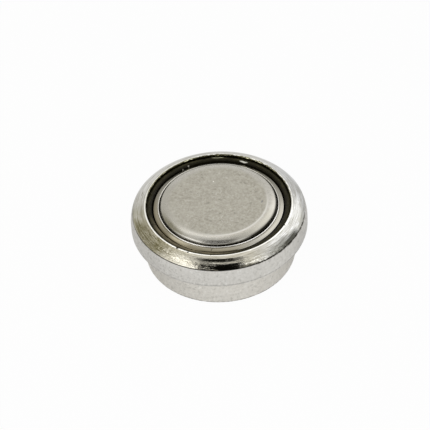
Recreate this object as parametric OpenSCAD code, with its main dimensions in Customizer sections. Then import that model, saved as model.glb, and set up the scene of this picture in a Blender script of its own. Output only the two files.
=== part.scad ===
// Alkaline button cell with a stepped can, 15.6 mm across.
// Every piece is a body of revolution about Z. The positive base stands on z = 0 and the
// negative contact disc faces up. Each section is drawn as radius (x) against height (y).

/* [Positive can] */
// Diameter of the wide band round the can
band_d = 15.6; // [15.2:0.1:16.4]
// Diameter of the narrow base, which is the positive contact
base_d = 13.4; // [12.8:0.1:13.8]
// Thickness of the can's steel sheet
can_t = 0.3; // [0.2:0.02:0.34]
// Height of the narrow base, up to the underside of the ledge
base_h = 3.1; // [2.6:0.1:4]
// Height of the band, from the underside of the ledge to where the wall starts to close in
band_h = 0.95; // [0.8:0.05:1.6]
// Height over which the wall closes in, up to the crease
closing_h = 0.95; // [0.8:0.05:1.2]
// How far in the crease lies from the band
closing_in = 0.18; // [0.1:0.02:0.26]
// Rise of the crimped shoulder, from the crease to the lip
shoulder_h = 0.77; // [0.65:0.02:0.9]
// Radius of the crimped shoulder's arc
shoulder_r = 2.2; // [1.9:0.1:2.8]
// Diameter of the mouth inside the crimped lip
mouth_d = 12.76; // [12.4:0.04:13]
// Rounding of the lip's edge
lip_edge_r = 0.09; // [0.04:0.01:0.14]
// Rounding round the bottom of the base
base_corner_r = 0.35; // [0.25:0.05:0.8]
// Rounding where the band turns under to the ledge
ledge_corner_r = 0.35; // [0.25:0.05:0.5]
// Rounding where the ledge meets the wall of the base
ledge_root_r = 0.15; // [0.1:0.05:0.3]

/* [Negative cap] */
// Thickness of the cap's sheet
cap_t = 0.25; // [0.16:0.01:0.3]
// Width of the open groove between the lip and the ring
groove_w = 0.61; // [0.5:0.01:0.8]
// Width of the ring round the contact disc
ring_w = 0.63; // [0.5:0.01:0.9]
// Height of the contact disc above the lip
contact_rise = 0.31; // [0.2:0.01:0.5]
// Drop from the contact disc to the ring
disc_drop = 0.47; // [0.4:0.01:0.6]
// Fall of the ring's sloping face, from the disc to its outer corner
ring_fall = 0.2; // [0.05:0.01:0.3]
// Width of the contact disc's rolled edge, from its flat to where it meets the ring
roll_w = 0.92; // [0.7:0.02:1.2]
// Radius of the roll's outer end, where it turns down to the ring
roll_end_r = 0.3; // [0.26:0.01:0.36]
// Rounding of the ring's outer corner
ring_corner_r = 0.12; // [0.05:0.01:0.15]
// Rounding where the ring's wall meets the hidden shoulder of the cap
ring_root_r = 0.15; // [0.1:0.05:0.25]
// Rounding from the hidden shoulder into the skirt
skirt_corner_r = 0.4; // [0.3:0.02:0.5]
// Width of the crevice at the foot of the contact disc
crevice_w = 0.1; // [0.05:0.01:0.14]
// Depth of the crevice at the foot of the contact disc
crevice_depth = 0.1; // [0.05:0.01:0.12]
// Radius of the fine bead next to the crevice
bead_r = 0.06; // [0.03:0.01:0.08]
// Radius of the fine turned line outside the bead
line_r = 0.03; // [0.01:0.01:0.04]

/* [Gasket] */
// Thickness of the nylon between the can and the cap
nylon_t = 0.45; // [0.36:0.01:0.5]
// Height of the nylon that the lip presses down on the cap's hidden shoulder
press_h = 0.7; // [0.6:0.02:0.9]
// Depth of the gasket's crown below the lip
crown_depth = 0.17; // [0.12:0.01:0.3]
// Radius of the gasket's crown
crown_r = 0.3; // [0.26:0.02:0.6]
// Gap between the gasket and the lip
lip_gap = 0.05; // [0.02:0.01:0.08]
// Width of the crack between the gasket and the ring, at its mouth
crack_w = 0.1; // [0.04:0.01:0.14]
// Depth of that crack
crack_depth = 0.5; // [0.2:0.02:0.56]
// Headroom between the gasket's inner leg and the cap's hidden shoulder
leg_headroom = 0.25; // [0.18:0.01:0.4]
// How far the gasket's foot reaches over the edge of the separators
clamp_w = 0.16; // [0.08:0.02:0.4]

/* [Inside] */
// Thickness of the absorbent separator
absorbent_t = 0.4; // [0.2:0.05:0.6]
// Thickness of the barrier separator
barrier_t = 0.1; // [0.05:0.01:0.2]
// Height of the steel sleeve round the cathode's upper edge
sleeve_h = 1.5; // [1:0.1:1.8]
// Thickness of the steel sleeve
sleeve_t = 0.2; // [0.1:0.02:0.3]
// How much rounder the pellet's bottom edge is than the corner it lies in
pellet_relief = 0.1; // [0.05:0.05:0.5]
// Clearance between pieces that lie against each other
fit_gap = 0.02; // [0.01:0.01:0.04]

/* [Hidden] */

$fn = 180;

// Overlap that joins the shapes of one section, and depth by which a cut runs past a face
lap = 0.01;
// Smallest rounding that is left inside a bend of the sheet
tight_bend_r = 0.02;

// Can: radii and heights of its outside
band_r = band_d / 2;
base_r = base_d / 2;
mouth_r = mouth_d / 2;
closing_z = base_h + band_h;
crease_z = closing_z + closing_h;
crease_r = band_r - closing_in;
lip_z = crease_z + shoulder_h;

// Can: the rounding under the band takes at most half of the ledge, where that is narrow
ledge_w = band_r - base_r;
turn_r = min(ledge_corner_r, ledge_w / 2);

// Can: the wall closes in on an arc that leaves the band upright and ends at the crease
closing_r = (closing_in * closing_in + closing_h * closing_h) / (2 * closing_in);
closing_c = [band_r - closing_r, closing_z];

// Can: the shoulder is an arc from the crease to the lip, and its centre lies under it
shoulder_run = crease_r - mouth_r;
shoulder_chord = norm([shoulder_run, shoulder_h]);
shoulder_reach = sqrt(shoulder_r * shoulder_r - shoulder_chord * shoulder_chord / 4);
shoulder_c = [
    (crease_r + mouth_r) / 2 - shoulder_reach * shoulder_h / shoulder_chord,
    (crease_z + lip_z) / 2 - shoulder_reach * shoulder_run / shoulder_chord
];

// Can: its inside, which everything else fits
can_inner_r = band_r - can_t;
well_r = base_r - can_t;
ledge_z = base_h + can_t;

// Lip: centre of its edge rounding, which touches the mouth and the shoulder's arc
lip_edge_x = mouth_r + lip_edge_r;
lip_edge_c = [lip_edge_x, arc_height(shoulder_c, shoulder_r - lip_edge_r, lip_edge_x)];

// Cap: its skirt stands in the gasket, one thickness of nylon from the can's wall and ledge,
// and its hidden shoulder lies under the lip
skirt_r = can_inner_r - nylon_t;
skirt_z = ledge_z + nylon_t;
cap_shoulder_z = lip_z - can_t - press_h;

// Cap: ring and contact disc
ring_r = mouth_r - groove_w;
disc_r = ring_r - ring_w;
disc_z = lip_z + contact_rise;
ring_z = disc_z - disc_drop;
flat_r = disc_r - roll_w;
face_angle = atan(ring_fall / ring_w);
bead_x = disc_r + crevice_w + bead_r;
line_x = bead_x + bead_r + line_r;

// Cap: the disc's edge rolls over on a wide arc from the flat, and then on the roll's end
roll_end_c = [disc_r - roll_end_r, ring_z];
roll_span = roll_end_c[0] - flat_r;
roll_slack = disc_drop - roll_end_r;
roll_r = (roll_span * roll_span + disc_drop * disc_drop - roll_end_r * roll_end_r) / (2 * roll_slack);
roll_c = [flat_r, disc_z - roll_r];

// Gasket
crown_z = lip_z - crown_depth;
crown_in_r = ring_r + crack_w;
crown_out_r = mouth_r - lip_gap;
leg_out_r = skirt_r - cap_t - fit_gap;
leg_in_r = leg_out_r - nylon_t;
leg_z = cap_shoulder_z - cap_t - leg_headroom;

// Inside the narrow base
sleeve_out_r = well_r - fit_gap;
sleeve_in_r = sleeve_out_r - sleeve_t;
disc_stack_r = sleeve_in_r - fit_gap;
foot_in_r = min(disc_stack_r, leg_in_r) - clamp_w;
absorbent_z = ledge_z - absorbent_t;
barrier_z = absorbent_z - fit_gap - barrier_t;
pellet_top_z = barrier_z - fit_gap;
pellet_z = can_t + fit_gap;
sleeve_z = ledge_z - sleeve_h;

// Height of an arc's upper side at a distance x from the axis
function arc_height(c, r, x) = c[1] + sqrt(r * r - (x - c[0]) * (x - c[0]));

// Height of the ring's sloping face, or of a surface under it, at a distance x from the axis
function face_height(x, depth) = ring_z - (x - disc_r) * tan(face_angle) - depth / cos(face_angle);

// Inner radius of a bend in sheet whose outer radius is r
function bend(r, depth) = max(r - depth, tight_bend_r);

// Radius of the inner corner under the ledge, which leaves room for the rounding beside it
function ledge_root(depth) = min(ledge_root_r + depth, ledge_w - bend(turn_r, depth));

// Direction from a point to another, measured from the outward direction
function arc_angle(from, to) = atan2(to[1] - from[1], to[0] - from[0]);

// Point where the closing wall and the shoulder meet, both taken in by depth
function crease_point(depth) =
    let (
        r = closing_r - depth,
        d = shoulder_c - closing_c,
        along = (r * r - pow(shoulder_r - depth, 2) + d * d) / (2 * norm(d)),
        side = cross(d, [crease_r, crease_z] - closing_c) > 0 ? 1 : -1
    )
    closing_c + (along * d + side * sqrt(r * r - along * along) * [-d[1], d[0]]) / norm(d);

// Column round the axis from z0 to z1, with its lower edge rounded
module low_rounded(r, z0, z1, corner_r) {
    translate([0, z0]) square([r - corner_r, z1 - z0]);
    translate([0, z0 + corner_r]) square([r, z1 - z0 - corner_r]);
    translate([r - corner_r, z0 + corner_r]) intersection() {
        circle(corner_r);
        translate([-lap, -corner_r]) square(corner_r + lap);
    }
}

// Column round the axis from z0 to z1, with its upper edge rounded
module high_rounded(r, z0, z1, corner_r) {
    translate([0, z0]) square([r - corner_r, z1 - z0]);
    translate([0, z0]) square([r, z1 - z0 - corner_r]);
    translate([r - corner_r, z1 - corner_r]) intersection() {
        circle(corner_r);
        translate([-lap, -lap]) square(corner_r + lap);
    }
}

// The part of a circle about c that lies between two heights, outside a distance x0
module circle_band(c, r, x0, z0, z1) {
    intersection() {
        translate(c) circle(r);
        translate([x0, z0]) square([c[0] + r - x0, z1 - z0]);
    }
}

// Metal in the inner corner between a wall at x and a surface at y.
// side is 1 where the surface is the floor at the wall's foot, and -1 where it is overhead.
module root_metal(x, y, r, side) {
    difference() {
        translate([x - lap, side > 0 ? y - lap : y - r]) square(r + lap);
        translate([x + r, y + side * r]) circle(r);
    }
}

// What rounding an outer corner takes away: a wedge from angle a0 to a1, less the circle
module corner_waste(c, r, a0, a1) {
    half = (a1 - a0) / 2;
    far = 2 * r / cos(half);
    translate(c) difference() {
        polygon([
            [0, 0],
            2 * r * [cos(a0), sin(a0)],
            far * [cos(a0 + half), sin(a0 + half)],
            2 * r * [cos(a1), sin(a1)]
        ]);
        circle(r);
    }
}

// Outline of the can, filled to the axis and taken in by depth on every side.
// It ends at the crown of the shoulder's arc, and the mouth isn't cut yet.
module can_outline(depth) {
    crease_at = crease_point(depth)[1];
    low_rounded(base_r - depth, depth, base_h + depth + lap, bend(base_corner_r, depth));
    root_metal(base_r - depth, base_h + depth, ledge_root(depth), -1);
    low_rounded(band_r - depth, base_h + depth, closing_z + lap, bend(turn_r, depth));
    translate([0, closing_z]) square([closing_c[0], crease_at - closing_z]);
    circle_band(closing_c, closing_r - depth, closing_c[0] - lap, closing_z, crease_at);
    circle_band(shoulder_c, shoulder_r - depth, 0, crease_at, shoulder_c[1] + shoulder_r);
}

// Outline of the contact disc above the ring, filled to the axis and taken in by depth
module disc_outline(depth) {
    rim_r = disc_r - depth;
    end_r = bend(roll_end_r, depth);
    wide_x = flat_r + (roll_r - depth) * cos(arc_angle(roll_c, roll_end_c));
    translate([0, ring_z - lap]) square([flat_r, disc_drop - depth + lap]);
    intersection() {
        translate(roll_c) circle(roll_r - depth);
        translate([0, ring_z - lap]) square([min(wide_x, rim_r), disc_drop + lap]);
    }
    circle_band([rim_r - end_r, ring_z], end_r, rim_r - end_r - lap, ring_z - lap, disc_z);
}

// Outline of the cap, filled to the axis and taken in by depth, without its fine turned lines
module cap_outline(depth) {
    shoulder_z = cap_shoulder_z - depth;
    wall_r = ring_r - depth;
    rim_r = disc_r - depth;
    high_rounded(skirt_r - depth, skirt_z, shoulder_z, bend(skirt_corner_r, depth));
    root_metal(wall_r, shoulder_z, ring_root_r + depth, 1);
    polygon([
        [0, shoulder_z - lap],
        [wall_r, shoulder_z - lap],
        [wall_r, face_height(wall_r, depth)],
        [rim_r, face_height(rim_r, depth)],
        [0, face_height(rim_r, depth)]
    ]);
    translate([0, shoulder_z]) square([rim_r, ring_z - shoulder_z]);
    disc_outline(depth);
}

// Stepped can: base, ledge, band, and a shoulder crimped in over the gasket
module positive_can() {
    color([0.78, 0.77, 0.74]) rotate_extrude() difference() {
        can_outline(0);
        can_outline(can_t);
        translate([0, closing_z]) square([mouth_r, closing_h + shoulder_r]);
        corner_waste(lip_edge_c, lip_edge_r, arc_angle(shoulder_c, lip_edge_c), 180);
    }
}

// Pressed cap: contact disc, sloping ring, hidden shoulder and skirt
module negative_cap() {
    ring_corner_x = ring_r - ring_corner_r;
    ring_corner_c = [ring_corner_x, face_height(ring_corner_x, ring_corner_r)];
    color([0.72, 0.71, 0.66]) rotate_extrude() difference() {
        union() {
            cap_outline(0);
            translate([bead_x, face_height(bead_x, 0)]) circle(bead_r);
        }
        cap_outline(cap_t);
        translate([0, skirt_z - lap]) square([skirt_r - cap_t, 2 * lap]);
        corner_waste(ring_corner_c, ring_corner_r, 0, 90 - face_angle);
        polygon([
            [disc_r, ring_z + lap],
            [disc_r + crevice_w, face_height(disc_r + crevice_w, 0) + lap],
            [disc_r, ring_z - crevice_depth]
        ]);
        translate([line_x, face_height(line_x, 0)]) circle(line_r);
    }
}

// Crown of the gasket: it fills the open groove up to a rounded top beside the lip, and its
// inner side slopes away from the ring's wall, which leaves a narrow crack
module crown_section() {
    crown_c = [(crown_in_r + crown_out_r) / 2, crown_z - crown_r];
    crown_edge_z = arc_height(crown_c, crown_r, crown_in_r);
    wall_r = ring_r + fit_gap;
    polygon([
        [wall_r, cap_shoulder_z],
        [crown_out_r, cap_shoulder_z],
        [crown_out_r, crown_edge_z],
        [crown_in_r, crown_edge_z],
        [wall_r, crown_z - crack_depth]
    ]);
    intersection() {
        translate(crown_c) circle(crown_r);
        translate([crown_in_r, crown_edge_z - lap]) square([crown_out_r - crown_in_r, crown_r]);
    }
}

// Nylon gasket: it lines the can's ledge, wall and shoulder, holds the cap's skirt in a
// channel, and rises to its crown in the open groove
module sealing_gasket() {
    channel_z = skirt_z - fit_gap;
    color([0.14, 0.15, 0.12]) rotate_extrude() {
        difference() {
            union() {
                difference() {
                    can_outline(can_t + fit_gap);
                    square([can_inner_r, ledge_z + fit_gap]);
                    translate([0, ledge_z]) square([foot_in_r, skirt_z - ledge_z]);
                    translate([0, cap_shoulder_z]) square([crown_out_r - lap, shoulder_r]);
                }
                crown_section();
            }
            translate([0, channel_z]) square([skirt_r + fit_gap, 2 * fit_gap]);
            cap_outline(-fit_gap);
        }
        translate([leg_in_r, channel_z - lap]) square([nylon_t, leg_z - channel_z + lap]);
    }
}

// Pressed pellet of cathode mix, with a rebate for the sleeve round its upper edge
module cathode_pellet() {
    bottom_r = bend(base_corner_r, can_t) + pellet_relief;
    color([0.13, 0.13, 0.14]) rotate_extrude() {
        low_rounded(sleeve_out_r, pellet_z, sleeve_z - fit_gap, bottom_r);
        translate([0, pellet_z]) square([disc_stack_r, pellet_top_z - pellet_z]);
    }
}

// Steel sleeve that keeps the pellet's upper edge and carries the gasket's foot
module cathode_sleeve() {
    color([0.62, 0.62, 0.63]) rotate_extrude()
        translate([sleeve_in_r, sleeve_z]) square([sleeve_t, sleeve_h]);
}

// Thin barrier film on the pellet
module barrier_separator() {
    color([0.85, 0.82, 0.7]) translate([0, 0, barrier_z]) cylinder(barrier_t, r = disc_stack_r);
}

// Absorbent disc on the barrier, clamped at its edge by the gasket's foot
module absorbent_separator() {
    color([0.92, 0.92, 0.9]) translate([0, 0, absorbent_z]) cylinder(absorbent_t, r = disc_stack_r);
}

// Zinc gel that fills the cap and the hollow of the gasket
module anode_gel() {
    gel_z = ledge_z + fit_gap;
    color([0.45, 0.46, 0.48]) rotate_extrude() difference() {
        union() {
            cap_outline(cap_t + fit_gap);
            translate([0, gel_z]) square([foot_in_r - fit_gap, skirt_z + lap - gel_z]);
        }
        translate([leg_in_r - fit_gap, skirt_z - lap]) square([nylon_t * 2, leg_z + fit_gap - skirt_z + lap]);
    }
}

positive_can();
negative_cap();
sealing_gasket();
cathode_pellet();
cathode_sleeve();
barrier_separator();
absorbent_separator();
anode_gel();
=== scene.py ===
import math
from types import SimpleNamespace

import bpy
import numpy as np
from mathutils import Matrix, Vector


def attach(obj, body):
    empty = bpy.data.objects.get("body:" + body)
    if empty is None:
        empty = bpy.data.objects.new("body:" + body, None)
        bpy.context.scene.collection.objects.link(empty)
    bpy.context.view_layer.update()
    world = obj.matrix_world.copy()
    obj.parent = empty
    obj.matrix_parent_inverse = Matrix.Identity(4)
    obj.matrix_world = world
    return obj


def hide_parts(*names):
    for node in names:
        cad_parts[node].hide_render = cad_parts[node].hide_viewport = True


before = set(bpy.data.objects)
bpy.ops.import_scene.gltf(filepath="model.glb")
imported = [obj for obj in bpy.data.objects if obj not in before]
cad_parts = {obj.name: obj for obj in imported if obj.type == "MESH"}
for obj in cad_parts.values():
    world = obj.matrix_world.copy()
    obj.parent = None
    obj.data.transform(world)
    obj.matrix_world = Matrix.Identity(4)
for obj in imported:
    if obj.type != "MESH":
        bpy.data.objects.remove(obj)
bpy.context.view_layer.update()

# Angles round the part are in degrees unless a line says otherwise: 0 is the front, right is positive.
MM = 0.001
SEGMENTS = 480

# ---------------------------------------------------------------- sizes, in mm, as in part.scad
BAND_R, BASE_R, MOUTH_R = 7.8, 6.7, 6.38
CAN_T, CAP_T, FIT = 0.3, 0.25, 0.02
BASE_H, BAND_TOP_Z, CREASE_Z, LIP_Z = 3.1, 4.05, 5.0, 5.77
SHOULDER_R, CLOSING_H, CLOSING_IN = 2.2, 0.95, 0.18
CREASE_R = BAND_R - CLOSING_IN
LIP_EDGE_R, BASE_CORNER_R, TURN_R, ROOT_R = 0.09, 0.35, 0.35, 0.15
RING_R, DISC_R, DISC_Z, RING_Z = 5.77, 5.14, 6.08, 5.61
RING_FALL, RING_W = 0.2, 0.63
FLAT_R, ROLL_END_R = DISC_R - 0.92, 0.3
CAP_SHOULDER_Z, SKIRT_R, SKIRT_Z = 4.77, 7.05, 3.85
CAP_ROOT_R, SKIRT_CORNER_R = 0.15, 0.4
LEDGE_Z = BASE_H + CAN_T
FACE_SLOPE = RING_FALL / RING_W
FACE_ANGLE = math.degrees(math.atan(FACE_SLOPE))


def shoulder_centre():
    """Centre of the shoulder's arc, which runs from the crease up to the lip."""
    run, rise = CREASE_R - MOUTH_R, LIP_Z - CREASE_Z
    chord = math.hypot(run, rise)
    reach = math.sqrt(SHOULDER_R ** 2 - chord ** 2 / 4)
    return (
        (CREASE_R + MOUTH_R) / 2 - reach * rise / chord,
        (CREASE_Z + LIP_Z) / 2 - reach * run / chord,
    )


CLOSING_R = (CLOSING_IN ** 2 + CLOSING_H ** 2) / (2 * CLOSING_IN)
CLOSING_C = (BAND_R - CLOSING_R, BAND_TOP_Z)
SHOULDER_C = shoulder_centre()


def face_height(x, depth=0.0):
    """Height of the ring's sloping face, or of a surface under it."""
    return RING_Z - (x - DISC_R) * FACE_SLOPE - depth / math.cos(math.radians(FACE_ANGLE))


def arc_height(c, r, x):
    """Height of the upper half of a circle at x."""
    return c[1] + math.sqrt(r * r - (x - c[0]) ** 2)


def crease_point(depth):
    """Where the closing wall and the shoulder meet, both taken in by depth."""
    r, q = CLOSING_R - depth, SHOULDER_R - depth
    dx, dz = SHOULDER_C[0] - CLOSING_C[0], SHOULDER_C[1] - CLOSING_C[1]
    d = math.hypot(dx, dz)
    along = (r * r - q * q + d * d) / (2 * d)
    side = math.sqrt(r * r - along * along)
    return max(
        (CLOSING_C[0] + (along * dx - s * side * dz) / d, CLOSING_C[1] + (along * dz + s * side * dx) / d)
        for s in (1, -1)
    )


def arc(c, r, a0, a1, steps):
    """Points of an arc, from angle a0 to a1, both ends included."""
    return [
        (c[0] + r * math.cos(a), c[1] + r * math.sin(a))
        for a in np.radians(np.linspace(a0, a1, steps + 1))
    ]


def line(p, q, steps):
    """Points of a line after p, up to and with q."""
    return [
        (p[0] + (q[0] - p[0]) * t, p[1] + (q[1] - p[1]) * t)
        for t in np.linspace(0, 1, steps + 1)[1:]
    ]


def angle_of(c, p):
    """Angle at which p is seen from c."""
    return math.degrees(math.atan2(p[1] - c[1], p[0] - c[0]))


def tidy(points):
    """The profile without points that repeat."""
    nearest = 1e-5
    kept = [points[0]]
    for p in points[1:]:
        if math.hypot(p[0] - kept[-1][0], p[1] - kept[-1][1]) > nearest:
            kept.append(p)
    return kept


# ---------------------------------------------------------------- profiles (radius, height)
def roll_arcs():
    """The disc's rolled edge: a wide arc from the flat, then a narrow one down to the ring."""
    drop, end_r = DISC_Z - RING_Z, ROLL_END_R
    end_c = (DISC_R - end_r, RING_Z)
    span = end_c[0] - FLAT_R
    wide_r = (span ** 2 + drop ** 2 - end_r ** 2) / (2 * (drop - end_r))
    wide_c = (FLAT_R, DISC_Z - wide_r)
    meet = angle_of(wide_c, end_c)
    return (wide_c, wide_r, 90, meet), (end_c, end_r, meet, 0)


def can_profile():
    """Section of the can from the axis under the base, round the lip, and back inside to the axis."""
    crease_in, crease_drop = 0.08, 0.005
    wall_stop, shoulder_start = 0.9, 1.0
    lip_x = MOUTH_R + LIP_EDGE_R
    lip_c = (lip_x, arc_height(SHOULDER_C, SHOULDER_R - LIP_EDGE_R, lip_x))
    lip_angle = angle_of(SHOULDER_C, lip_c)
    crease = (CREASE_R, CREASE_Z)
    corner_c = (BASE_R - BASE_CORNER_R, BASE_CORNER_R)
    turn_c = (BAND_R - TURN_R, BASE_H + TURN_R)
    outside = [(0, 0)]
    outside += line((0, 0), (corner_c[0], 0), 8)
    outside += arc(corner_c, BASE_CORNER_R, -90, 0, 14)
    outside += line((BASE_R, BASE_CORNER_R), (BASE_R, BASE_H - ROOT_R), 16)
    outside += arc((BASE_R + ROOT_R, BASE_H - ROOT_R), ROOT_R, 180, 90, 6)
    outside += line((BASE_R + ROOT_R, BASE_H), (turn_c[0], BASE_H), 3)
    outside += arc(turn_c, TURN_R, -90, 0, 14)
    outside += line((BAND_R, turn_c[1]), (BAND_R, BAND_TOP_Z), 5)
    outside += arc(CLOSING_C, CLOSING_R, 0, angle_of(CLOSING_C, crease) - wall_stop, 12)
    outside += [(CREASE_R - crease_in, CREASE_Z - crease_drop)]
    outside += arc(SHOULDER_C, SHOULDER_R, angle_of(SHOULDER_C, crease) + shoulder_start, lip_angle, 44)
    outside += arc(lip_c, LIP_EDGE_R, lip_angle, 180, 10)
    t = CAN_T
    root = ROOT_R + t
    inner_crease = crease_point(t)
    lip_under = (MOUTH_R, arc_height(SHOULDER_C, SHOULDER_R - t, MOUTH_R))
    from_lip, to_crease = angle_of(SHOULDER_C, lip_under), angle_of(SHOULDER_C, inner_crease)
    inside = [lip_under]
    inside += arc(SHOULDER_C, SHOULDER_R - t, from_lip, to_crease, 12)
    inside += arc(CLOSING_C, CLOSING_R - t, angle_of(CLOSING_C, inner_crease), 0, 6)
    inside += arc(turn_c, TURN_R - t, 0, -90, 4)
    inside += arc((BASE_R - t + root, LEDGE_Z - root), root, 90, 180, 6)
    inside += arc(corner_c, BASE_CORNER_R - t, 0, -90, 4)
    inside += [(0, t)]
    return tidy(outside + inside)


def cap_profile():
    """Section of the cap, from the axis inside it down to the skirt's edge, and back over the disc.

    It is built the other way and turned round, so that the lathe's faces look outwards.
    """
    ring_corner = 0.12
    crevice_w, crevice_d, crevice_floor = 0.1, 0.1, 0.03
    bead_r, line_r = 0.06, 0.03
    bead_x = DISC_R + crevice_w + bead_r
    line_x = bead_x + bead_r + line_r
    line_end = line_x + line_r
    wide, end = roll_arcs()
    tilt = -FACE_ANGLE
    ring_x = RING_R - ring_corner
    ring_c = (ring_x, face_height(ring_x, ring_corner))
    skirt_c = (SKIRT_R - SKIRT_CORNER_R, CAP_SHOULDER_Z - SKIRT_CORNER_R)
    outside = [(0, DISC_Z)]
    outside += line((0, DISC_Z), (FLAT_R, DISC_Z), 30)
    outside += arc(*wide, 24)
    outside += arc(*end, 14)
    outside += line((DISC_R, RING_Z), (DISC_R, RING_Z - crevice_d), 2)
    outside += [(DISC_R + crevice_floor, RING_Z - crevice_d)]
    outside += [(DISC_R + crevice_w, face_height(DISC_R + crevice_w))]
    outside += arc((bead_x, face_height(bead_x)), bead_r, 180 + tilt, tilt, 10)
    outside += arc((line_x, face_height(line_x)), line_r, 180 + tilt, 360 + tilt, 6)
    outside += line((line_end, face_height(line_end)), (ring_x, face_height(ring_x)), 8)
    outside += arc(ring_c, ring_corner, 90 + tilt, 0, 10)
    outside += line((RING_R, ring_c[1]), (RING_R, CAP_SHOULDER_Z + CAP_ROOT_R), 6)
    outside += arc((RING_R + CAP_ROOT_R, CAP_SHOULDER_Z + CAP_ROOT_R), CAP_ROOT_R, 180, 270, 5)
    outside += arc(skirt_c, SKIRT_CORNER_R, 90, 0, 8)
    outside += [(SKIRT_R, SKIRT_Z)]
    t = CAP_T
    root = CAP_ROOT_R + t
    inside = [(SKIRT_R - t, SKIRT_Z)]
    inside += arc(skirt_c, SKIRT_CORNER_R - t, 0, 90, 4)
    inside += arc((RING_R - t + root, CAP_SHOULDER_Z - t + root), root, 270, 180, 6)
    inside += [(RING_R - t, face_height(RING_R - t, t)), (DISC_R - t, face_height(DISC_R - t, t))]
    for centre, radius, a0, a1 in (end, wide):
        inside += arc(centre, radius - t, a1, a0, 5)
    inside += [(0, DISC_Z - t)]
    return tidy(outside + inside)[::-1]


def gasket_profile():
    """Closed section of the gasket, from its foot round the outside to the crown and the channel."""
    t = CAN_T + FIT
    foot_r, leg_in, leg_out, leg_z = 6.0, 6.33, 6.78, 4.27
    crown_in, crown_out, crown_r, crack_d = RING_R + 0.1, MOUTH_R - 0.05, 0.3, 0.5
    crown_z = LIP_Z - 0.17
    crown_c = ((crown_in + crown_out) / 2, crown_z - crown_r)
    edge_z = arc_height(crown_c, crown_r, crown_in)
    crown_from, crown_to = angle_of(crown_c, (crown_out, edge_z)), angle_of(crown_c, (crown_in, edge_z))
    inner_crease = crease_point(t)
    under_lip = (crown_out, arc_height(SHOULDER_C, SHOULDER_R - t, crown_out))
    from_crease, to_lip = angle_of(SHOULDER_C, inner_crease), angle_of(SHOULDER_C, under_lip)
    wall, root = RING_R + FIT, CAP_ROOT_R - FIT
    skirt_c = (SKIRT_R - SKIRT_CORNER_R, CAP_SHOULDER_Z - SKIRT_CORNER_R)
    channel = SKIRT_Z - FIT
    points = [(foot_r, LEDGE_Z + FIT)]
    points += arc((BAND_R - TURN_R, BASE_H + TURN_R), TURN_R - t, -90, 0, 4)
    points += arc(CLOSING_C, CLOSING_R - t, 0, angle_of(CLOSING_C, inner_crease), 6)
    points += arc(SHOULDER_C, SHOULDER_R - t, from_crease, to_lip, 10)
    points += arc(crown_c, crown_r, crown_from, crown_to, 22)
    points += line((crown_in, edge_z), (wall, crown_z - crack_d), 6)
    points += arc((wall + root, CAP_SHOULDER_Z + FIT + root), root, 180, 270, 5)
    points += arc(skirt_c, SKIRT_CORNER_R + FIT, 90, 0, 8)
    points += [(SKIRT_R + FIT, channel), (leg_out, channel), (leg_out, leg_z), (leg_in, leg_z)]
    points += [(leg_in, SKIRT_Z), (foot_r, SKIRT_Z)]
    return tidy(points)


# ---------------------------------------------------------------- lathe
def add_object(name, data):
    """A new object in the scene that shows data."""
    obj = bpy.data.objects.new(name, data)
    bpy.context.scene.collection.objects.link(obj)
    return obj


def lathe(name, profile, shape, closed=False, sharp=40):
    """A solid of revolution, whose edges are drawn sharp from that angle on.

    shape moves the points: it takes their radius and height in mm and their angle in radians.
    """
    profile = np.array(profile, float)
    on_axis = profile[:, 0] < 1e-9
    turn = np.linspace(-math.pi, math.pi, SEGMENTS, endpoint=False)
    r = np.repeat(profile[~on_axis, 0][:, None], SEGMENTS, 1)
    z = np.repeat(profile[~on_axis, 1][:, None], SEGMENTS, 1)
    th = np.repeat(turn[None, :], r.shape[0], 0)
    r, z = shape(r, z, th)
    rows = r.shape[0]
    ring_points = np.stack([r * np.sin(th), -r * np.cos(th), z], -1).reshape(-1, 3)
    poles = [(0, 0, p[1]) for p in profile[on_axis]]
    co = np.concatenate([ring_points, np.array(poles).reshape(-1, 3)]) * MM
    i = np.arange(SEGMENTS)
    j = (i + 1) % SEGMENTS
    faces = []
    for k in range(rows if closed else rows - 1):
        a, b = k * SEGMENTS, (k + 1) % rows * SEGMENTS
        faces += np.stack([a + i, a + j, b + j, b + i], -1).tolist()
    if not closed:
        first, last = rows * SEGMENTS, rows * SEGMENTS + 1
        end = (rows - 1) * SEGMENTS
        faces += [(first, int(q), int(p)) for p, q in zip(i, j)]
        faces += [(last, int(end + p), int(end + q)) for p, q in zip(i, j)]
    mesh = bpy.data.meshes.new(name)
    mesh.from_pydata(co.tolist(), [], faces)
    mesh.polygons.foreach_set("use_smooth", [True] * len(mesh.polygons))
    mesh.set_sharp_from_angle(angle=math.radians(sharp))
    mesh.validate()
    return add_object(name, mesh)


def window(x, low, high, soft):
    """1 between low and high, falling smoothly to 0 over soft outside them."""
    def step(t):
        t = np.clip(t, 0, 1)
        return t * t * (3 - 2 * t)
    return step((x - low + soft) / soft) * step((high + soft - x) / soft)


def waves(seed, th, low, high, count):
    """A smooth irregular ripple round the part, about 1 high, from whole waves low to high."""
    rng = np.random.default_rng(seed)
    total = np.zeros_like(th)
    for n in rng.integers(low, high + 1, count):
        total += rng.normal() * np.sin(n * th + rng.uniform(0, 2 * math.pi))
    return total / math.sqrt(count)


def dent(r, z, th, at, size, depth):
    """Depth of a small pit: at is (angle, radius, height) and size its radius."""
    angle, radius, height = at
    across = (th - math.radians(angle)) * radius
    d2 = (across ** 2 + (r - radius) ** 2 + (z - height) ** 2) / size ** 2
    return depth * np.exp(-d2)


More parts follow.
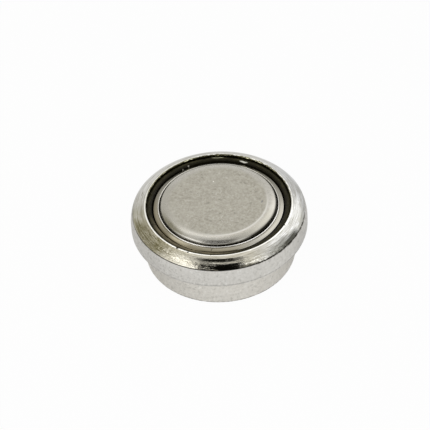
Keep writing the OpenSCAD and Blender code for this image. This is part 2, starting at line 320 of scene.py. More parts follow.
# angle, radius, height, size and depth of each dent in the lip
LIP_DENTS = [
    (-35.5, 6.47, 5.73, 0.10, 0.045),
    (-26.0, 6.50, 5.73, 0.09, 0.05),
    (-29.5, 6.46, 5.74, 0.06, 0.02),
    (-8.0, 6.45, 5.74, 0.06, 0.015),
    (23.0, 6.48, 5.73, 0.07, 0.02),
    (61.0, 6.47, 5.73, 0.08, 0.02),
    (118.0, 6.47, 5.73, 0.09, 0.03),
    (-149.0, 6.46, 5.73, 0.08, 0.03),
    (-96.0, 6.47, 5.73, 0.07, 0.02),
]

# angle, radius and size of each dark spot of painted shade in a dent of the lip
LIP_DENT_SHADES = [(-35.5, 6.46, 0.10), (-26.0, 6.50, 0.07), (-8.0, 6.44, 0.05), (61.0, 6.45, 0.06)]

# angle, radius, size and depth of each ding in the disc and its ring
CAP_DINGS = [(2.9, 2.27, 0.16, 0.012), (-8.2, 5.55, 0.08, 0.015), (70, 3.4, 0.14, 0.01)]


def shape_can(r, z, th):
    """The crimping tool's traces: a slightly uneven shoulder, lip and crease, and dents in the lip."""
    ripple, chatter, crease_wave, edge_round = 0.0035, 0.0012, 0.012, 0.006
    skin, twist, inside_to, lip_from = 0.1, 0.35, LEDGE_Z + 0.2, 5.5
    crease_r, edge_r, edge_z = 7.5, 7.6, (3.36, 3.37)
    nx, nz = r - SHOULDER_C[0], z - SHOULDER_C[1]
    length = np.maximum(np.hypot(nx, nz), 1e-6)
    nx, nz = nx / length, nz / length
    outside = (z > inside_to) & (length > SHOULDER_R - skin)
    on_shoulder = window(z, CREASE_Z + 0.12, 6.2, 0.1) * outside
    shift = -ripple * np.abs(waves(3, th, 5, 24, 12)) * on_shoulder
    shift -= chatter * np.abs(waves(8, th + twist * z, 40, 110, 16)) * on_shoulder
    crease = window(z, CREASE_Z - 0.012, CREASE_Z + 0.012, 0.01) * (r > crease_r)
    shift -= crease_wave * crease * np.abs(waves(5, th, 3, 30, 10))
    shift -= edge_round * window(z, *edge_z, 0.03) * (r > edge_r)
    for angle, radius, height, size, depth in LIP_DENTS:
        shift = shift - dent(r, z, th, (angle, radius, height), size, depth) * (z > lip_from)
    return r + shift * nx, z + shift * nz


def shape_cap(r, z, th):
    """A disc that is flat to a few hundredths, with a few small dings on it and on its ring."""
    fall, fall_r, uneven, disc_from = 0.004, 4.2, 0.3, 5.9
    top = window(r, -1.0, 4.3, 0.5) * (z > disc_from)
    z = z - fall * top * (r / fall_r) ** 2 * (1 + uneven * waves(11, th, 2, 4, 4))
    for angle, radius, size, depth in CAP_DINGS:
        height = DISC_Z if radius < FLAT_R else face_height(radius)
        z = z - dent(r, z, th, (angle, radius, height), size, depth)
    return r, z


def shape_gasket(r, z, th):
    """Moulded nylon squeezed up in the groove, so that its crown is a little uneven."""
    swell, grain, twist, crown_from = 0.02, 0.01, 3, 5.45
    crown = window(r, RING_R + 0.1, MOUTH_R - 0.04, 0.02) * (z > crown_from)
    lift = -swell * np.abs(waves(21, th, 7, 60, 24))
    lift -= grain * np.abs(waves(23, th + twist * r, 60, 150, 20))
    return r, z + lift * crown


can = lathe("positive_can_skin", can_profile(), shape_can, sharp=14)
cap = lathe("negative_cap_skin", cap_profile(), shape_cap)
gasket = lathe("sealing_gasket_skin", gasket_profile(), shape_gasket, closed=True)
for piece, node, slot in (
    (can, "positive_can", "can_nickel"),
    (cap, "negative_cap", "cap_nickel"),
    (gasket, "sealing_gasket", "gasket_nylon"),
):
    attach(piece, "root")
    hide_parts(node)


# ---------------------------------------------------------------- node trees
METAL, NOT_METAL = 1.0, 0.0


class Nodes:
    """Short calls for building the node tree of a material or a world."""

    def __init__(self, owner):
        owner.use_nodes = True
        self.owner = owner
        self.nodes = owner.node_tree.nodes
        self.links = owner.node_tree.links

    def node(self, kind, **values):
        """A new node, with its settings."""
        made = self.nodes.new(kind)
        for key, value in values.items():
            setattr(made, key, value)
        return made

    def put(self, socket, value):
        """Give the socket a number, a colour, or a link from an output."""
        if isinstance(value, (int, float)):
            socket.default_value = value
        elif isinstance(value, tuple):
            socket.default_value = (*value, 1)
        else:
            self.links.new(value, socket)

    def fill(self, sockets, *values):
        """put() a value in each of the first sockets."""
        for socket, value in zip(sockets, values):
            self.put(socket, value)

    def math(self, operation, *values):
        made = self.node("ShaderNodeMath", operation=operation)
        self.fill(made.inputs, *values)
        return made.outputs[0]

    def times(self, first, *others):
        """The product of all the values, such as masks that are 0 to 1."""
        for other in others:
            first = self.math("MULTIPLY", first, other)
        return first

    def minus(self, a, b):
        return self.math("SUBTRACT", a, b)

    def most(self, a, b):
        return self.math("MAXIMUM", a, b)

    def without(self, mask, share):
        """1 where the mask is 0, and less by share where it is 1."""
        return self.minus(1.0, self.times(mask, share))

    def range(self, value, low, high, to_low=0.0, to_high=1.0, kind="LINEAR"):
        """The value mapped from low..high to to_low..to_high, and held there beyond them."""
        made = self.node("ShaderNodeMapRange", interpolation_type=kind)
        self.fill(made.inputs, value, low, high, to_low, to_high)
        return made.outputs[0]

    def band(self, value, rise, fall):
        """0, up to 1 through the two values of rise, and back to 0 through the two of fall."""
        return self.times(self.range(value, *rise), self.range(value, fall[1], fall[0]))

    def coordinates(self):
        """The object's own coordinates, in metres, as one vector."""
        return self.node("ShaderNodeTexCoord").outputs["Object"]

    def split(self, vector):
        parts = self.node("ShaderNodeSeparateXYZ")
        self.put(parts.inputs[0], vector)
        return parts.outputs


class PartNodes(Nodes):
    """A material of the part, with the part's coordinates in mm: x, y, z, r and turn, in radians."""

    def __init__(self, name):
        super().__init__(bpy.data.materials.new(name))
        self.bsdf = self.nodes["Principled BSDF"]
        scale = self.node("ShaderNodeVectorMath", operation="SCALE")
        self.put(scale.inputs[0], self.coordinates())
        self.put(scale.inputs["Scale"], 1 / MM)
        self.place = scale.outputs[0]
        self.x, self.y, self.z = self.split(self.place)
        squares = self.math("ADD", self.times(self.x, self.x), self.times(self.y, self.y))
        self.r = self.math("SQRT", squares)
        self.turn = self.math("ARCTAN2", self.x, self.times(self.y, -1.0))

    def surface(self, colour, metallic, roughness, normal):
        """Set the shader's main inputs, and return the material."""
        self.put(self.bsdf.inputs["Base Color"], colour)
        self.put(self.bsdf.inputs["Metallic"], metallic)
        self.put(self.bsdf.inputs["Roughness"], roughness)
        self.put(self.bsdf.inputs["Normal"], normal)
        return self.owner

    def noise(self, vector, scale, detail, rough):
        made = self.node("ShaderNodeTexNoise")
        self.put(made.inputs["Vector"], vector)
        for key, value in (("Scale", scale), ("Detail", detail), ("Roughness", rough)):
            self.put(made.inputs[key], value)
        return made.outputs["Fac"]

    def grain(self, scale, detail, rough):
        """Noise that is the same in all directions."""
        return self.noise(self.place, scale, detail, rough)

    def trace(self, turns, rise, detail, rough):
        """Noise drawn out round the part: finer round it with turns, and across it with rise."""
        made = self.node("ShaderNodeCombineXYZ")
        self.fill(
            made.inputs,
            self.times(self.math("SINE", self.turn), turns),
            self.times(self.math("COSINE", self.turn), turns),
            self.times(self.minus(self.z, self.r), rise),
        )
        return self.noise(made.outputs[0], 1.0, detail, rough)

    def ramp(self, value, *stops):
        """The value through a ramp of two (position, grey) stops."""
        made = self.node("ShaderNodeValToRGB")
        for element, (at, grey) in zip(made.color_ramp.elements, stops):
            element.position = at
            element.color = (grey, grey, grey, 1)
        self.put(made.inputs[0], value)
        return made.outputs[0]

    def mix(self, share, a, b, blend="MIX"):
        """Colour a, with share of colour b over it."""
        made = self.node("ShaderNodeMix", data_type="RGBA", blend_type=blend)
        self.fill((made.inputs[0], made.inputs[6], made.inputs[7]), share, a, b)
        return made.outputs[2]

    def tint(self, share, colour, by):
        """The colour, multiplied by another where share is 1."""
        return self.mix(share, colour, self.mix(1.0, colour, by, "MULTIPLY"))

    def coats(self, colour, *coats):
        """The colour with coats over it in turn, each a mask and its own colour."""
        for share, coat in coats:
            colour = self.mix(share, colour, coat)
        return colour

    def mix_values(self, share, a, b):
        """Number a, with share of number b in it."""
        made = self.node("ShaderNodeMix", data_type="FLOAT")
        self.fill(made.inputs, share)
        self.fill(made.inputs[2:4], a, b)
        return made.outputs[0]

    def bump(self, height, distance, strength, normal=None):
        """Relief of height times distance in mm, on top of another one."""
        made = self.node("ShaderNodeBump")
        self.put(made.inputs["Strength"], strength)
        self.put(made.inputs["Distance"], distance * MM)
        self.put(made.inputs["Height"], height)
        if normal is not None:
            self.put(made.inputs["Normal"], normal)
        return made.outputs[0]

    def sector(self, middle, half, soft):
        """1 within half degrees of the angle middle, falling to 0 over soft degrees more."""
        off = self.math("ABSOLUTE", self.minus(self.turn, math.radians(middle)))
        return self.range(off, math.radians(half + soft), math.radians(half))

    def round_to(self, low, high, to_low=0.0, to_high=1.0):
        """range() of the angle round the part."""
        return self.range(self.turn, math.radians(low), math.radians(high), to_low, to_high)

    def back_from(self, low, high):
        """0 at the front, up to 1 from low to high on both sides, and 1 at the back."""
        return self.range(self.math("ABSOLUTE", self.turn), math.radians(low), math.radians(high))

    def spot(self, x, y, heading, along, across):
        """1 on a small ellipse about (x, y), seen from above, whose long side points at heading."""
        a = math.radians(heading)
        total = 0.0
        for dx, dy, half in ((math.cos(a), math.sin(a), along), (-math.sin(a), math.cos(a), across)):
            off = self.math("ADD", self.times(self.x, dx / half), self.times(self.y, dy / half))
            off = self.minus(off, (x * dx + y * dy) / half)
            total = self.math("ADD", self.times(off, off), total)
        return self.range(total, 1.5, 0.5)

    def spot_at(self, angle, radius, heading, along, across):
        """spot() at an angle and radius."""
        a = math.radians(angle)
        return self.spot(radius * math.sin(a), -radius * math.cos(a), heading, along, across)


# ---------------------------------------------------------------- the can's nickel
# sector of the painted dark reflection on the left of the shoulder
LEFT_DARK_REFLECTION = (-68, 22, 14)


def can_patterns(t):
    """The noises and masks that the can's colour, roughness and relief share."""
    return SimpleNamespace(
        streak=t.trace(2.4, 5.0, 4.0, 0.62),  # round the part, about 3 by 0.2 mm
        scratch=t.trace(6.0, 13.0, 3.0, 0.6),  # round the part, about 1.2 by 0.08 mm
        dash=t.trace(17.0, 5.5, 3.0, 0.6),  # round the part, about 0.4 by 0.2 mm
        drawn=t.trace(34.0, 0.8, 3.0, 0.55),  # upright, about 0.2 by 1.2 mm
        blotch=t.grain(0.7, 4.0, 0.6),  # 1.4 mm across, and the next three 0.3, 0.2 and 0.06 mm
        mottle=t.grain(3.5, 5.0, 0.70),
        pit=t.grain(5.5, 3.0, 0.6),
        fine=t.grain(16.0, 3.0, 0.6),
        shoulder=t.range(t.z, CREASE_Z - 0.02, CREASE_Z + 0.02),
        low=t.range(t.z, 5.62, 5.30),
    )


def wall_colour(t, p):
    """Base, band and closing wall: drawn nickel with dull and bright mottling, painted shade under the
    band, the base painted lighter against that shade, and a dark foot line of painted shade.
    """
    draw_lines = t.ramp(p.drawn, (0.3, 0.0), (0.7, 1.0))
    underside = t.range(t.z, 0.06, 0.01)
    dull = t.ramp(p.mottle, (0.36, 0.8), (0.46, 0.0))
    scuffed = t.times(t.sector(-48, 26, 20), t.range(p.pit, 0.56, 0.66), 0.7)
    bright = t.ramp(p.mottle, (0.55, 0.0), (0.68, 0.8))
    # painted shade: darker just under the band's overhang, and more so at the right side
    band_shade = t.times(
        t.band(t.z, (BASE_H, BASE_H + 0.06), (BASE_H + 0.32, BASE_H + 0.42)),
        t.most(t.range(p.mottle, 0.62, 0.42), t.sector(75, 25, 15)),
    )
    # painted light: the base is made a little lighter, to make up for the band's shade on it
    base_lift = t.range(t.z, BASE_H + 0.02, BASE_H - 0.02)
    # painted shade: a speckled dark line just above the foot, darkest at the front right and faint at the
    # front
    foot_shade = t.times(
        t.range(t.z, 0.34, 0.26),
        t.range(p.pit, 0.60, 0.44),
        t.without(t.sector(5, 12, 20), 0.3),
        t.range(t.z, 0.03, 0.09),
    )
    foot_shade_colour = t.mix(t.sector(40, 14, 14), (0.17, 0.165, 0.145), (0.09, 0.087, 0.07))
    colour = t.mix(draw_lines, (0.63, 0.612, 0.57), (0.66, 0.647, 0.61))
    colour = t.coats(
        colour,
        (underside, (0.64, 0.628, 0.595)),
        (dull, (0.47, 0.46, 0.425)),
        (scuffed, (0.42, 0.41, 0.375)),
        (bright, (0.79, 0.78, 0.75)),
        (band_shade, (0.42, 0.41, 0.38)),
    )
    return t.mix(foot_shade, t.tint(base_lift, colour, (1.06, 1.05, 1.03)), foot_shade_colour)


def shoulder_colour(t, p):
    """The polished shoulder: streaks and scratches round it, and dark reflections painted at the left, at
    the right and by the crease.
    """
    streaks = t.ramp(p.streak, (0.36, 0.0), (0.62, 1.0))
    dark_scratches = t.ramp(p.scratch, (0.58, 0.0), (0.66, 0.8))
    bright_scratches = t.ramp(p.scratch, (0.32, 0.8), (0.40, 0.0))
    # painted dark reflection: darker streaks and blotches at the left, and fainter ones low at the right
    painted_dark_streaks = t.most(t.sector(*LEFT_DARK_REFLECTION), t.times(t.sector(60, 20, 14), 0.4))
    painted_dark_streaks = t.times(painted_dark_streaks, t.range(p.streak, 0.50, 0.57))
    painted_dark_patches = t.most(t.sector(*LEFT_DARK_REFLECTION), t.times(t.sector(58, 16, 14), p.low, 0.6))
    painted_dark_patches = t.times(painted_dark_patches, t.range(p.blotch, 0.44, 0.58), 0.5)
    # painted dark reflection: the jagged, tapering end of the dark band above the crease at the front
    # right
    taper_top = t.round_to(14, 31, CREASE_Z + 0.20, CREASE_Z + 0.02)
    taper = t.minus(t.minus(t.z, taper_top), t.times(t.minus(p.dash, 0.5), 0.25))
    taper = t.times(t.range(taper, 0.02, -0.02), t.sector(21, 8, 3), 0.85)
    # painted dark reflection: the upper shoulder darker at the left, above the highlight
    upper = t.most(t.sector(-80, 9, 10), t.times(t.sector(-38, 8, 8), 0.6))
    upper = t.times(upper, t.range(t.z, 5.52, 5.62), t.range(p.streak, 0.40, 0.52))
    fine_lines = t.times(t.sector(74, 28, 14), t.range(p.scratch, 0.53, 0.56), 0.6)
    colour = t.coats(
        t.mix(streaks, (0.43, 0.415, 0.365), (0.63, 0.62, 0.58)),
        (dark_scratches, (0.22, 0.205, 0.15)),
        (bright_scratches, (0.80, 0.79, 0.76)),
        (painted_dark_streaks, (0.26, 0.245, 0.18)),
        (painted_dark_patches, (0.28, 0.265, 0.17)),
        (taper, (0.07, 0.065, 0.05)),
        (upper, (0.30, 0.285, 0.22)),
        (fine_lines, (0.27, 0.255, 0.21)),
    )
    colour = t.tint(t.sector(-25, 45, 20), colour, (1.02, 0.985, 0.89))
    return t.tint(t.sector(85, 38, 25), colour, (0.98, 1.0, 1.06))


def lip_colour(t, p, colour):
    """The lip over the can's colour: a painted highlight on its top, ragged and stained at the back, and
    painted shade in its dents.
    """
    on_top = t.range(t.z, LIP_Z - 0.17, LIP_Z - 0.12)
    # painted highlight: the lip's top is near white all round
    top = t.times(t.range(t.r, MOUTH_R + 0.19, MOUTH_R + 0.12), on_top)
    uneven = t.most(t.round_to(80, 110), t.round_to(-150, -170, 0.2, 1.0))
    jitter = t.times(t.minus(p.dash, 0.5), uneven)
    edge = t.minus(t.r, t.times(t.math("ADD", jitter, 0.5), 0.5))
    ragged = t.times(t.range(edge, 6.24, 6.21), on_top, t.back_from(80, 110))
    inner_face = t.times(t.range(t.r, MOUTH_R + 0.05, MOUTH_R + 0.03), t.range(t.z, 5.3, 5.5))
    stained = t.times(t.range(p.mottle, 0.38, 0.44), inner_face)
    flecks = t.times(inner_face, t.range(p.dash, 0.54, 0.60))
    # painted shade: a dark spot in some of the lip's dents
    dent_shades = [t.times(t.spot_at(angle, radius, angle, size, size), p.shoulder)
             for angle, radius, size in LIP_DENT_SHADES]
    return t.coats(
        colour,
        (top, (0.93, 0.915, 0.85)),
        (ragged, (0.16, 0.15, 0.09)),
        (stained, (0.09, 0.085, 0.045)),
        (flecks, (0.62, 0.60, 0.42)),
        *((dent_shade, (0.03, 0.028, 0.02)) for dent_shade in dent_shades),
    )


def crease_shade(t, p):
    """Painted shade on the line between wall and shoulder, deeper in places at the front right."""
    line_only = t.band(t.z, (CREASE_Z - 0.045, CREASE_Z - 0.025), (CREASE_Z + 0.025, CREASE_Z + 0.05))
    deep_shade = t.times(
        t.band(t.z, (CREASE_Z - 0.07, CREASE_Z - 0.04), (CREASE_Z + 0.06, CREASE_Z + 0.10)),
        t.sector(50, 26, 12),
        t.range(p.mottle, 0.60, 0.50),
    )
    return t.most(line_only, deep_shade)


def can_relief(t, p):
    """Bumps: streaks, scratches and tool marks on the shoulder, draw lines and mottling all over."""
    beaten = t.most(t.sector(-48, 18, 12), t.times(p.low, t.sector(30, 12, 8)))
    beaten = t.most(beaten, t.times(p.low, t.sector(-22, 12, 10), 0.6))
    dimples = t.times(t.times(beaten, p.shoulder), t.range(p.dash, 0.44, 0.62))
    normal = t.bump(t.times(p.streak, p.shoulder), 0.012, 0.6)
    normal = t.bump(t.times(p.scratch, p.shoulder), 0.003, 0.6, normal)
    normal = t.bump(dimples, 0.016, 0.8, normal)
    normal = t.bump(p.drawn, 0.002, 0.3, normal)
    normal = t.bump(p.mottle, 0.006, 0.4, normal)
    return t.bump(p.fine, 0.001, 0.4, normal)


def can_material():
    """The can: satin walls, a polished shoulder and lip, and a black line of painted shade in the crease.
    """
    t = PartNodes("nickel_plated_steel")
    p = can_patterns(t)
    colour = t.mix(p.shoulder, wall_colour(t, p), shoulder_colour(t, p))
    colour = t.mix(crease_shade(t, p), lip_colour(t, p, colour), (0.06, 0.055, 0.045))
    wall_rough = t.range(p.mottle, 0.3, 0.7, 0.30, 0.42)
    shoulder_rough = t.range(p.streak, 0.3, 0.7, 0.04, 0.11)
    rough = t.mix_values(p.shoulder, wall_rough, shoulder_rough)
    return t.surface(colour, METAL, rough, can_relief(t, p))


# ---------------------------------------------------------------- the cap's nickel
# x, y, heading, half length, half width and colour of each mark on the disc
DISC_MARKS = [
    (-0.33, 2.51, 0, 0.05, 0.05, (0.85, 0.84, 0.80)),
    (0.25, -2.03, 58, 0.24, 0.03, (0.56, 0.54, 0.48)),
    (0.24, -2.56, -60, 0.13, 0.03, (0.52, 0.50, 0.44)),
    (3.83, -0.39, 65, 0.16, 0.05, (0.20, 0.20, 0.215)),
    (1.30, 0.55, 10, 0.10, 0.03, (0.52, 0.50, 0.45)),
    (-1.75, 1.10, 35, 0.12, 0.03, (0.24, 0.225, 0.19)),
]


def cap_patterns(t):
    """The noises and masks that the cap's colour, roughness and relief share."""
    return SimpleNamespace(
        fine=t.grain(5.5, 4.0, 0.7),
        speck=t.grain(2.6, 5.0, 0.65),
        disc=t.range(t.r, DISC_R + 0.02, DISC_R + 0.06, 1.0, 0.0),
        flat=t.range(t.r, FLAT_R - 0.12, FLAT_R + 0.28, 1.0, 0.0),
    )


def disc_colour(t, p):
    """The matt disc and its rolled edge, with painted light and shade on the roll and painted shade down
    by the crevice.
    """
    cloudy = t.ramp(t.grain(0.5, 4.0, 0.6), (0.35, 0.0), (0.65, 1.0))
    grainy = t.ramp(p.fine, (0.38, 0.0), (0.62, 1.0))
    light_specks = t.ramp(p.speck, (0.56, 0.0), (0.68, 0.7))
    dark_specks = t.ramp(p.speck, (0.32, 0.7), (0.42, 0.0))
    dust = t.ramp(t.grain(11.0, 1.0, 0.5), (0.74, 0.0), (0.80, 0.8))
    flat = t.coats(
        t.mix(cloudy, (0.31, 0.292, 0.243), (0.37, 0.352, 0.302)),
        (grainy, (0.437, 0.417, 0.357)),
        (light_specks, (0.52, 0.50, 0.445)),
        (dark_specks, (0.23, 0.218, 0.180)),
        (dust, (0.74, 0.72, 0.66)),
        *((t.spot(*where), tint) for *where, tint in DISC_MARKS),
    )
    roll = t.mix(t.ramp(p.speck, (0.3, 0.0), (0.7, 1.0)), (0.43, 0.41, 0.36), (0.49, 0.475, 0.43))
    # painted dark reflection: the rolled edge darker at the front right and at the left
    roll_dark_reflection = t.times(t.most(t.sector(38, 24, 16), t.sector(-85, 30, 20)), 0.6)
    roll = t.mix(roll_dark_reflection, roll, (0.36, 0.342, 0.29))
    # painted highlight: a light arc where the flat turns into the roll, at the right
    rim_highlight = t.band(t.r, (FLAT_R, FLAT_R + 0.08), (FLAT_R + 0.12, FLAT_R + 0.24))
    rim_highlight = t.times(t.sector(42, 30, 40), 0.6, rim_highlight)
    # painted shade: the foot of the roll dark by the crevice, less so at the front left and the back, and
    # higher up at the right
    less_shade = t.times(t.without(t.sector(-32, 12, 16), 0.5), t.without(t.back_from(115, 150), 0.8))
    roll_foot_shade = t.times(less_shade, t.range(t.z, RING_Z + 0.19, RING_Z + 0.04))
    high_roll_shade = t.times(t.range(t.z, RING_Z + 0.29, RING_Z + 0.17), t.sector(65, 32, 20))
    roll_foot_shade = t.times(t.most(roll_foot_shade, high_roll_shade), p.disc)
    return t.coats(
        t.mix(p.flat, roll, flat),
        (rim_highlight, (0.68, 0.67, 0.63)),
        (roll_foot_shade, (0.04, 0.037, 0.027)),
    )


def ring_colour(t):
    """The ring round the disc: turned lines, painted light and shade, darker and browner outside at the
    front left, a painted highlight on the bead and painted shade in the crevice.
    """
    turned = t.ramp(t.trace(0.8, 16.0, 2.0, 0.5), (0.38, 0.0), (0.62, 1.0))
    near_left = t.sector(-46, 50, 25)
    # painted dark reflection: the ring dark at the back, outside the bead, where it mirrors the black
    # gasket
    behind = t.times(t.back_from(85, 135), 0.75, t.range(t.r, 5.38, 5.46))
    # at the front left the ring goes lighter towards the bead and darker and browner towards its outer
    # edge
    inner_edge = t.times(near_left, 0.25, t.range(t.r, 5.54, 5.42))
    outer_darkening = t.times(near_left, 0.6, t.range(t.r, 5.44, 5.68))
    colour = t.coats(
        t.mix(turned, (0.27, 0.255, 0.205), (0.41, 0.395, 0.35)),
        # painted light and shade: the ring darker at the front left and lighter at the front right
        (t.times(t.sector(-60, 35, 25), 0.5), (0.20, 0.185, 0.14)),
        (t.times(t.sector(60, 40, 30), 0.25), (0.50, 0.48, 0.43)),
        (behind, (0.09, 0.083, 0.06)),
        (inner_edge, (0.50, 0.475, 0.41)),
        (outer_darkening, (0.14, 0.12, 0.075)),
    )
    colour = t.tint(t.sector(-40, 45, 25), colour, (1.02, 0.98, 0.88))
    on_bead = t.band(t.r, (DISC_R + 0.09, DISC_R + 0.12), (DISC_R + 0.20, DISC_R + 0.23))
    # painted highlight: the bead near white at the front
    bead_highlight = t.mix(t.sector(0, 60, 40), (0.62, 0.60, 0.54), (0.90, 0.88, 0.83))
    # painted shade: a black line down in the crevice round the disc
    crevice = t.range(t.r, DISC_R + 0.10, DISC_R + 0.085)
    scratch = t.spot_at(-8.2, 5.52, 62, 0.17, 0.03)
    return t.coats(
        colour,
        (on_bead, bead_highlight),
        (crevice, (0.02, 0.018, 0.012)),
        (scratch, (0.08, 0.075, 0.06)),
    )


def cap_material():
    """The cap: a matt disc in a smoother ring."""
    t = PartNodes("matte_nickel_cap")
    p = cap_patterns(t)
    colour = t.mix(p.disc, ring_colour(t), disc_colour(t, p))
    dull = t.range(t.math("ADD", p.speck, p.flat), 0.3, 1.7, 0.22, 0.52)
    on_ring = t.range(t.r, 5.38, 5.42)
    normal = t.bump(t.times(p.fine, p.flat), 0.02, 0.5)
    normal = t.bump(t.times(p.speck, p.flat), 0.03, 0.5, normal)
    return t.surface(colour, METAL, t.minus(dull, t.times(on_ring, 0.12)), normal)


# ---------------------------------------------------------------- the gasket and the inside
# angle, radius, half length, half width and colour of each painted highlight on the gasket, and of the
# dark edge of one of them
NYLON_GLINTS = [
    (155.8, 5.98, 0.36, 0.07, (0.85, 0.84, 0.74)),
    (178.6, 6.20, 0.52, 0.08, (0.75, 0.75, 0.52)),
    (178.6, 6.20, 0.30, 0.04, (0.03, 0.03, 0.015)),
    (-149, 5.80, 0.08, 0.06, (0.60, 0.58, 0.50)),
    (-155, 5.90, 0.07, 0.05, (0.50, 0.48, 0.40)),
]


def nylon_material():
    """The gasket: nearly black nylon, with a dried film at the front left, painted shade on its inner side
    and a few painted highlights.
    """
    t = PartNodes("dark_nylon")
    patch = t.trace(7.0, 6.0, 4.0, 0.65)
    fleck = t.grain(7.0, 3.0, 0.6)
    patches = t.ramp(patch, (0.42, 0.0), (0.66, 1.0))
    light_grains = t.ramp(fleck, (0.66, 0.0), (0.72, 0.5))
    # painted shade: the gasket's inner side, by the gap at the ring, nearly black
    inner_shade = t.range(t.r, 6.06, 5.94)
    film = t.times(t.sector(-32, 28, 20), t.range(patch, 0.25, 0.5), t.range(t.r, 6.24, 6.00), 0.95)
    colour = t.coats(
        t.mix(patches, (0.010, 0.0085, 0.0025), (0.050, 0.045, 0.020)),
        (light_grains, (0.20, 0.19, 0.13)),
        (inner_shade, (0.006, 0.005, 0.002)),
        (film, (0.28, 0.237, 0.15)),
        # painted highlights, and the dark edge of one painted reflection
        *((t.spot_at(angle, radius, angle, along, across), tint)
          for angle, radius, along, across, tint in NYLON_GLINTS),
    )
    t.put(t.bsdf.inputs["IOR"], 1.3)
    t.put(t.bsdf.inputs["Specular IOR Level"], 0.3)
    t.put(t.bsdf.inputs["Specular Tint"], (1.0, 0.93, 0.72))
    return t.surface(colour, NOT_METAL, t.range(patch, 0.3, 0.7, 0.34, 0.5), t.bump(fleck, 0.04, 0.7))


def inner_material(name, low, high, scale, roughness, metallic, depth):
    """A hidden piece's material: one noise for its two colours, its roughness and its relief."""
    spread = 0.06
    t = PartNodes(name)
    noise = t.grain(scale, 4.0, 0.6)
    colour = t.mix(t.ramp(noise, (0.3, 0.0), (0.7, 1.0)), low, high)
    rough = t.range(noise, 0.3, 0.7, roughness - spread, roughness + spread)
    return t.surface(colour, metallic, rough, t.bump(noise, depth, 1.0))


def dress(obj, material):
    """Give obj that material alone."""
    obj.data.materials.clear()
    obj.data.materials.append(material)


dress(can, can_material())
dress(cap, cap_material())
dress(gasket, nylon_material())
# node, then its material's name, two colours, grain scale, roughness, metallic and relief depth
for node, *values in (
    ("cathode_pellet", "cathode_mix", (0.012, 0.012, 0.013), (0.035, 0.034, 0.034), 9.0, 0.75, 0.0, 0.03),
    ("cathode_sleeve", "sleeve_steel", (0.40, 0.40, 0.41), (0.52, 0.52, 0.53), 5.0, 0.35, 1.0, 0.004),
    ("barrier_separator", "barrier_film", (0.62, 0.58, 0.44), (0.72, 0.68, 0.55), 3.0, 0.4, 0.0, 0.004),
    ("absorbent_separator", "absorbent_felt", (0.72, 0.72, 0.69), (0.86, 0.86, 0.83), 12, 0.85, 0.0, 0.04),
    ("anode_gel", "zinc_gel", (0.14, 0.145, 0.155), (0.30, 0.31, 0.33), 7.0, 0.5, 0.4, 0.03),
):
    dress(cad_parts[node], inner_material(*values))


# ---------------------------------------------------------------- stage, light and camera
CENTRE = Vector((0, 0, 4.5 * MM))
LAMP_DISTANCE = 0.3
WORLD_LIGHT = 0.5
FLOOR_HALF, FLOOR_DROP, FLOOR_GREY = 4.0, 0.02 * MM, 0.95
# Share of plain white in the floor: to the camera, and in reflections near, before and behind the part
FLOOR_GLOW_SEEN = 0.96
FLOOR_GLOW_NEAR, FLOOR_GLOW_FRONT, FLOOR_GLOW_BACK = 0.33, 0.80, 0.72
FLOOR_FRONT_Y, FLOOR_BACK_Y, FLOOR_LEAN = (-3 * MM, -8.5 * MM), (4 * MM, 13 * MM), -0.15
CAMERA_DOWN, CAMERA_ROLL, CAMERA_DISTANCE, CAMERA_AIM_Z = 43.88, -3.08, 0.2, 3.1 * MM
CAMERA_LENS, CAMERA_SENSOR, CAMERA_SHIFT = 189.06, 36, (-0.01056, 0.02374)


def aim(obj, azimuth, elevation, distance):
    """Put obj at that angle and distance from the part, its -Z looking back at it and its Y up."""
    a, e = math.radians(azimuth), math.radians(elevation)
    z = Vector((math.cos(e) * math.sin(a), -math.cos(e) * math.cos(a), math.sin(e)))
    x = Vector((0, 0, 1)).cross(z).normalized()
    turn = Matrix((x, z.cross(x), z)).transposed().to_4x4()
    obj.matrix_world = Matrix.Translation(CENTRE + distance * z) @ turn


def half_sizes(width, height, distance):
    """Half the size of what covers width by height degrees at that distance."""
    return [distance * math.tan(math.radians(v / 2)) for v in (width, height)]


def lamp(name, azimuth, elevation, width, height, radiance):
    """A soft box that covers width by height degrees, as seen from the part, with that radiance."""
    data = bpy.data.lights.new(name, "AREA")
    data.shape = "RECTANGLE"
    w, h = half_sizes(width, height, LAMP_DISTANCE)
    data.size, data.size_y = 2 * w, 2 * h
    data.energy = radiance * math.pi * data.size * data.size_y
    obj = add_object(name, data)
    obj.visible_camera = False
    aim(obj, azimuth, elevation, LAMP_DISTANCE)


def quad(name, w, h, z=0.0):
    """A flat piece of the stage, 2w by 2h, with an empty material tree of its own."""
    mesh = bpy.data.meshes.new(name)
    mesh.from_pydata([(-w, -h, z), (w, -h, z), (w, h, z), (-w, h, z)], [], [(0, 1, 2, 3)])
    t = Nodes(bpy.data.materials.new(name))
    t.nodes.clear()
    mesh.materials.append(t.owner)
    return add_object(name, mesh), t


def glow_over(t, share, under, colour=(1, 1, 1), strength=1.0):
    """Finish a stage material: share of a plain glow over the shader node under."""
    glow, mix = t.node("ShaderNodeEmission"), t.node("ShaderNodeMixShader")
    t.fill(glow.inputs, colour, strength)
    t.fill(mix.inputs, share, under.outputs[0], glow.outputs[0])
    t.put(t.node("ShaderNodeOutputMaterial").inputs[0], mix.outputs[0])


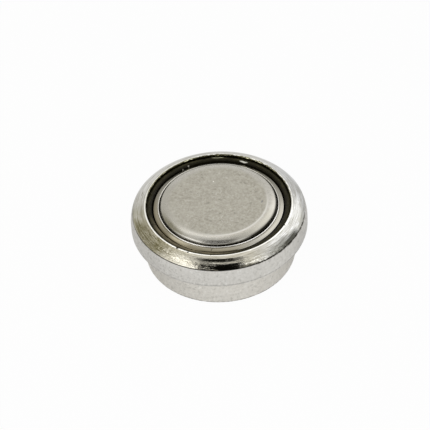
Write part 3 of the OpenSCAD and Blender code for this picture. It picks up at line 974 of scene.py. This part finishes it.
def card(name, azimuth, elevation, width, height, colour, soft=(0.3, 0.3), strength=1.0, distance=0.26):
    """A card that covers width by height degrees, seen only in reflections, and fading at its edges."""
    halves = half_sizes(width, height, distance)
    obj, t = quad(name, *halves)
    aim(obj, azimuth, elevation, distance)
    obj.visible_camera = False
    obj.visible_diffuse = False
    obj.visible_shadow = False
    fades = []
    for place, half, edge in zip(t.split(t.coordinates()), halves, soft):
        off = t.math("ABSOLUTE", place)
        fades.append(t.range(off, half * (1 - 2 * edge), half, 1.0, 0.0, "SMOOTHSTEP"))
    glow_over(t, t.times(*fades), t.node("ShaderNodeBsdfTransparent"), colour, strength)


def seen_directly(t):
    """1 for camera, glossy and transmission rays, which are shown the plain white background."""
    path = t.node("ShaderNodeLightPath")
    seen = path.outputs["Is Camera Ray"]
    for kind in ("Is Glossy Ray", "Is Transmission Ray"):
        seen = t.most(seen, path.outputs[kind])
    return seen


def make_world():
    """White where it is seen, and a plain fill light otherwise."""
    world = bpy.data.worlds.new("studio")
    bpy.context.scene.world = world
    t = Nodes(world)
    strength = t.range(seen_directly(t), 0.0, 1.0, WORLD_LIGHT, 1.0)
    t.fill(t.nodes["Background"].inputs, (1, 1, 1), strength)


def make_floor():
    """A white floor that keeps the part's shadow, and is darker close to the part in its reflections."""
    floor, t = quad("floor", FLOOR_HALF, FLOOR_HALF, -FLOOR_DROP)
    x, y, _ = t.split(t.coordinates())
    lean = t.math("MULTIPLY_ADD", x, FLOOR_LEAN, y)
    front = t.range(lean, *FLOOR_FRONT_Y, FLOOR_GLOW_NEAR, FLOOR_GLOW_FRONT)
    back = t.range(y, *FLOOR_BACK_Y, FLOOR_GLOW_NEAR, FLOOR_GLOW_BACK)
    from_camera = t.node("ShaderNodeLightPath").outputs["Is Camera Ray"]
    share = t.range(from_camera, 0.0, 1.0, t.most(front, back), FLOOR_GLOW_SEEN)
    dull = t.node("ShaderNodeBsdfDiffuse")
    t.put(dull.inputs[0], (FLOOR_GREY, FLOOR_GREY, FLOOR_GREY))
    glow_over(t, t.times(seen_directly(t), share), dull)


def make_camera():
    """The photograph's view: from above the front, far off with a long lens, and slightly rolled."""
    elevation, roll = math.radians(CAMERA_DOWN), math.radians(CAMERA_ROLL)
    ce, se, cr, sr = math.cos(elevation), math.sin(elevation), math.cos(roll), math.sin(roll)
    right, up, back = Vector((1, 0, 0)), Vector((0, se, ce)), Vector((0, -ce, se))
    data = bpy.data.cameras.new("camera")
    data.sensor_width = CAMERA_SENSOR
    data.lens = CAMERA_LENS
    data.shift_x, data.shift_y = CAMERA_SHIFT
    data.clip_start = 0.01
    obj = add_object("camera", data)
    turn = Matrix((cr * right + sr * up, -sr * right + cr * up, back)).transposed().to_4x4()
    obj.matrix_world = Matrix.Translation(Vector((0, 0, CAMERA_AIM_Z)) + CAMERA_DISTANCE * back) @ turn
    bpy.context.scene.camera = obj


make_world()
make_floor()
make_camera()

# azimuth, elevation, width and height in degrees as seen from the part, then radiance or colour
lamp("softbox_left", -52, 40, 34, 26, 2.2)
lamp("softbox_right", 42, 42, 24, 22, 1.6)
card("glow_left", -58, 36, 38, 21, (0.98, 1, 1.05), soft=(0.25, 0.25), strength=1.8)
card("glow_right", 44, 42, 36, 34, (0.97, 0.99, 1.04), soft=(0.3, 0.2), strength=2.0)
card("glow_right_back", 124, 38, 52, 66, (1, 1, 1), strength=1.8)
card("glow_back", -158, 63, 70, 16, (1, 1, 1), strength=1.9)
card("flag_front", -3, 46, 64, 36, (0.005, 0.005, 0.004), soft=(0.22, 0.08), distance=0.24)
card("flag_top", -5, 78, 44, 20, (0.01, 0.01, 0.008), soft=(0.3, 0.10), distance=0.24)
card("flag_left", -106, 32, 50, 66, (0.45, 0.435, 0.34), soft=(0.25, 0.25), distance=0.24)
card("flag_right", 84, 18, 52, 34, (0.22, 0.22, 0.20), soft=(0.2, 0.2), distance=0.24)
card("haze_right", 85, 44, 44, 26, (0.85, 0.85, 0.85), distance=0.25)

bpy.context.scene.view_settings.view_transform = "Standard"
